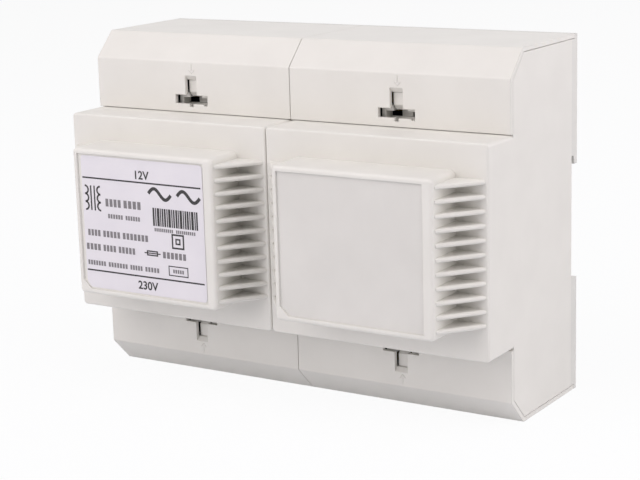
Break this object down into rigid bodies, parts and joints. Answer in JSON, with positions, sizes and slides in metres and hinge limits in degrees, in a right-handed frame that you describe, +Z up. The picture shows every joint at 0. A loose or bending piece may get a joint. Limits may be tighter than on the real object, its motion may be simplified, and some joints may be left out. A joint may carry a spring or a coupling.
{
  "type": "din rail transformer",
  "caption": "Mains transformer in joined modular plastic cases that clip on a 35 mm rail, with finned front bosses, a framed label panel and clip-on terminal covers.",
  "frame": {"origin": "on the rail's centre line, in the plane of the rail's front face, midway between the modules", "axes": "+X along the rail to the right seen from the front, +Y to the rear, +Z up"},
  "size_m": [0.1398, 0.0689, 0.105],
  "materials": {
    "case_plastic": "fine moulded grain",
    "base_plastic": "fine moulded grain",
    "cover_plastic": "fine moulded grain",
    "screw_steel": "zinc plated",
    "latch_plastic": "smooth moulded",
    "core_steel": "varnished sheet edges",
    "bobbin_plastic": "smooth moulded",
    "winding_copper": "enamelled wire",
    "winding_tape": "polyester tape",
    "block_plastic": "smooth moulded",
    "clamp_brass": "bright",
    "lead_copper": "tinned wire",
    "label_film": "matt printed film"
  },
  "bodies": {
    "case": {"left_base": "base_plastic", "left_base_screws": "screw_steel", "left_bobbin": "bobbin_plastic", "left_bottom_cover": "cover_plastic", "left_core": "core_steel", "left_housing": "case_plastic", "left_latch_guide": "base_plastic", "left_primary_block": "block_plastic", "left_primary_clamps": "clamp_brass", "left_primary_leads": "lead_copper", "left_primary_screws": "screw_steel", "left_primary_winding": "winding_copper", "left_rail_hook": "base_plastic", "left_secondary_block": "block_plastic", "left_secondary_clamps": "clamp_brass", "left_secondary_leads": "lead_copper", "left_secondary_screws": "screw_steel", "left_secondary_winding": "winding_copper", "left_top_cover": "cover_plastic", "left_winding_tape": "winding_tape", "link_bars": "clamp_brass", "link_sleeves": "latch_plastic", "rating_label": "label_film", "right_base": "base_plastic", "right_base_screws": "screw_steel", "right_bobbin": "bobbin_plastic", "right_bottom_cover": "cover_plastic", "right_core": "core_steel", "right_housing": "case_plastic", "right_latch_guide": "base_plastic", "right_primary_block": "block_plastic", "right_primary_clamps": "clamp_brass", "right_primary_leads": "lead_copper", "right_primary_screws": "screw_steel", "right_primary_winding": "winding_copper", "right_rail_hook": "base_plastic", "right_secondary_block": "block_plastic", "right_secondary_clamps": "clamp_brass", "right_secondary_leads": "lead_copper", "right_secondary_screws": "screw_steel", "right_secondary_winding": "winding_copper", "right_top_cover": "cover_plastic", "right_winding_tape": "winding_tape"},
    "left_latch": {"left_rail_latch": "latch_plastic"},
    "right_latch": {"right_rail_latch": "latch_plastic"}
  },
  "joints": [
    {"name": "left_latch_slide", "type": "slide", "parent": "case", "child": "left_latch", "axis": [0, 0, -1], "range_m": [0, 0.004]},
    {"name": "right_latch_slide", "type": "slide", "parent": "case", "child": "right_latch", "axis": [0, 0, -1], "range_m": [0, 0.004]}
  ]
}
